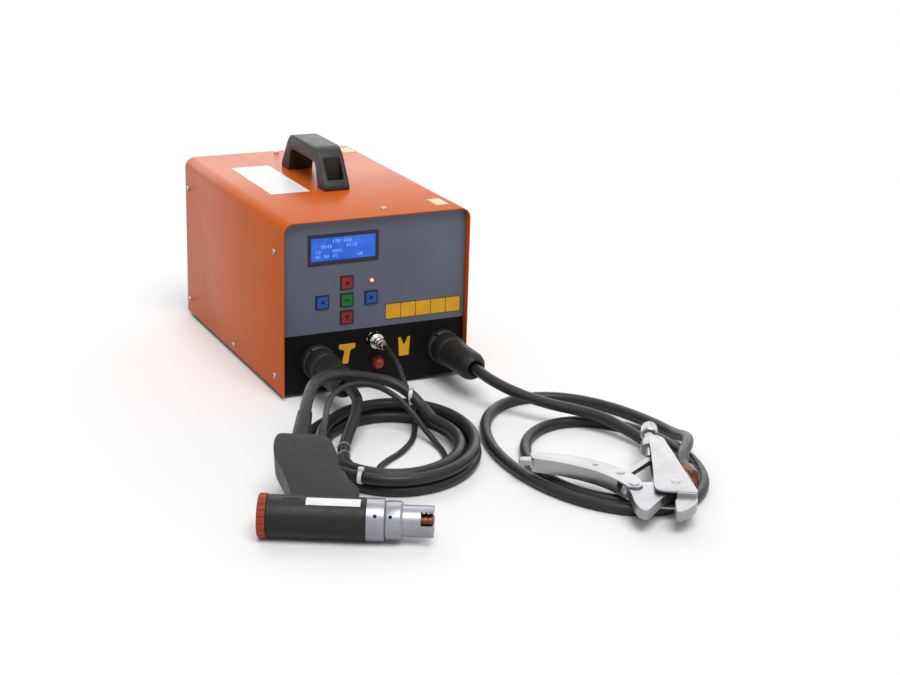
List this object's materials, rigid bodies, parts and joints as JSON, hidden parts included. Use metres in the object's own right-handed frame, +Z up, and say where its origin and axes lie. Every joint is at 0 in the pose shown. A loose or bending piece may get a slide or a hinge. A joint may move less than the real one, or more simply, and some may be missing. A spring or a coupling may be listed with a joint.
{
  "type": "stud welder",
  "caption": "Portable stud welder: orange sheet-metal power case with keypad and display, pistol stud gun, earth clamp and coiled welding cables.",
  "frame": {"origin": "on the floor plane, under the middle of the case", "axes": "+Z up, -Y the way the control panel faces, +X to the right seen from the front"},
  "size_m": [0.5811, 0.9434, 0.288],
  "materials": {
    "orange_paint": "fine textured powder coat",
    "black_paint": "satin powder coat",
    "grey_fascia": "matt printed foil",
    "zinc_steel": "zinc plated",
    "plated_steel": "nickel plated, worn",
    "black_rubber": "matt",
    "cable_rubber": "matt, slightly dusty",
    "black_plastic": "fine moulded grain",
    "gun_plastic": "fine moulded grain",
    "display_glass": "polished window",
    "board_green": "solder mask",
    "red_plastic": "smooth",
    "green_plastic": "smooth",
    "blue_plastic": "smooth",
    "orange_plastic": "smooth moulded",
    "led_lens": "diffused lens",
    "contact_brass": "machined",
    "copper": "tinned copper, dull",
    "turned_aluminium": "fine turned",
    "can_sleeve": "shrink sleeve",
    "core_steel": "varnished laminations",
    "winding": "varnished tape"
  },
  "bodies": {
    "machine": {"cover": "orange_paint", "base_pan": "black_paint", "front_panel": "black_paint", "fascia": "grey_fascia", "rear_panel": "black_paint", "screws": "zinc_steel", "feet": "black_rubber", "carry_handle": "black_plastic", "lcd_bezel": "black_plastic", "lcd_glass": "display_glass", "control_board": "board_green", "key_switches": "black_plastic", "status_led": "led_lens", "button_body": "black_plastic", "weld_sockets": "black_plastic", "weld_contacts": "contact_brass", "control_socket": "zinc_steel", "capacitors": "can_sleeve", "bus_bars": "copper", "transformer_core": "core_steel", "transformer_coil": "winding", "heatsink": "turned_aluminium", "thyristors": "black_plastic", "fan_frame": "black_plastic", "mains_inlet": "black_plastic", "switch_body": "black_plastic", "gun_plug": "black_rubber", "earth_plug": "black_rubber", "control_plug": "zinc_steel", "gun_cable": "cable_rubber", "gun_coil": "cable_rubber", "control_cable": "cable_rubber", "earth_cable": "cable_rubber", "earth_coil": "cable_rubber", "gun_shell_left": "gun_plastic", "gun_shell_right": "gun_plastic", "gun_collar": "turned_aluminium", "gun_nose": "turned_aluminium", "gun_front_tube": "turned_aluminium", "gun_spring": "zinc_steel", "gun_boot": "black_rubber", "clamp_body": "plated_steel", "cable_lug": "copper"},
    "up_key": {"key_up": "red_plastic"},
    "ok_key": {"key_ok": "green_plastic"},
    "down_key": {"key_down": "red_plastic"},
    "left_key": {"key_left": "blue_plastic"},
    "right_key": {"key_right": "blue_plastic"},
    "red_button": {"push_button": "red_plastic"},
    "rocker": {"power_rocker": "red_plastic"},
    "fan": {"fan_rotor": "black_plastic"},
    "trigger": {"gun_trigger": "black_plastic"},
    "plunger": {"gun_plunger": "zinc_steel", "gun_chuck": "copper"},
    "rear_cap": {"gun_rear_cap": "orange_plastic"},
    "jaw": {"clamp_jaw": "plated_steel"},
    "lever": {"clamp_lever": "plated_steel"},
    "link": {"clamp_link": "plated_steel"},
    "release": {"release_lever": "plated_steel"},
    "adjuster": {"clamp_adjuster": "plated_steel"}
  },
  "joints": [
    {"name": "up_key_press", "type": "slide", "parent": "machine", "child": "up_key", "axis": [0, 1, 0], "range_m": [0, 0.0006], "stiffness_N_per_m": 800, "springref_m": -0.002},
    {"name": "ok_key_press", "type": "slide", "parent": "machine", "child": "ok_key", "axis": [0, 1, 0], "range_m": [0, 0.0006], "stiffness_N_per_m": 800, "springref_m": -0.002},
    {"name": "down_key_press", "type": "slide", "parent": "machine", "child": "down_key", "axis": [0, 1, 0], "range_m": [0, 0.0006], "stiffness_N_per_m": 800, "springref_m": -0.002},
    {"name": "left_key_press", "type": "slide", "parent": "machine", "child": "left_key", "axis": [0, 1, 0], "range_m": [0, 0.0006], "stiffness_N_per_m": 800, "springref_m": -0.002},
    {"name": "right_key_press", "type": "slide", "parent": "machine", "child": "right_key", "axis": [0, 1, 0], "range_m": [0, 0.0006], "stiffness_N_per_m": 800, "springref_m": -0.002},
    {"name": "red_button_press", "type": "slide", "parent": "machine", "child": "red_button", "axis": [0, 1, 0], "range_m": [0, 0.002], "stiffness_N_per_m": 500, "springref_m": -0.004},
    {"name": "power_rocker_swing", "type": "hinge", "parent": "machine", "child": "rocker", "pos_m": [-0.075, 0.195, 0.106], "axis": [1, 0, 0], "range_deg": [-16, 0]},
    {"name": "fan_spin", "type": "hinge", "parent": "machine", "child": "fan", "pos_m": [0.062, 0.191, 0.124], "axis": [0, 1, 0], "continuous": true},
    {"name": "trigger_pull", "type": "slide", "parent": "machine", "child": "trigger", "axis": [-0.887, 0.4617, 0], "range_m": [0, 0.004], "stiffness_N_per_m": 800, "springref_m": -0.006},
    {"name": "plunger_stroke", "type": "slide", "parent": "machine", "child": "plunger", "axis": [-0.887, 0.4617, 0], "range_m": [0, 0.008], "stiffness_N_per_m": 1500, "springref_m": -0.01, "deforming": ["gun_spring"]},
    {"name": "rear_cap_turn", "type": "hinge", "parent": "machine", "child": "rear_cap", "pos_m": [-0.295, -0.565, 0.024], "axis": [0.887, -0.4617, 0], "range_deg": [-360, 360]},
    {"name": "jaw_close", "type": "hinge", "parent": "machine", "child": "jaw", "pos_m": [0.15, -0.682, 0.0265], "axis": [-0.0152, -0.0314, 0.9994], "range_deg": [0, 15.5]},
    {"name": "lever_squeeze", "type": "hinge", "parent": "jaw", "child": "lever", "pos_m": [0.10684, -0.66558, 0.02636], "axis": [-0.0152, -0.0314, 0.9994], "range_deg": [-49.7, 0]},
    {"name": "link_swing", "type": "hinge", "parent": "lever", "child": "link", "pos_m": [0.10821, -0.63404, 0.02737], "axis": [-0.0152, -0.0314, 0.9994], "range_deg": [0, 55.6]},
    {"name": "release_press", "type": "hinge", "parent": "lever", "child": "release", "pos_m": [0.09348, -0.60362, 0.02811], "axis": [-0.0152, -0.0314, 0.9994], "range_deg": [-6, 0]},
    {"name": "adjuster_turn", "type": "hinge", "parent": "machine", "child": "adjuster", "pos_m": [0.20325, -0.54229, 0.0317], "axis": [0.5326, 0.8456, 0.0347], "range_deg": [-360, 360]}
  ],
  "couplings": [
    {"joint": "jaw_close", "follows": "lever_squeeze", "ratio": -0.31048},
    {"joint": "link_swing", "follows": "lever_squeeze", "ratio": -1.1172}
  ]
}
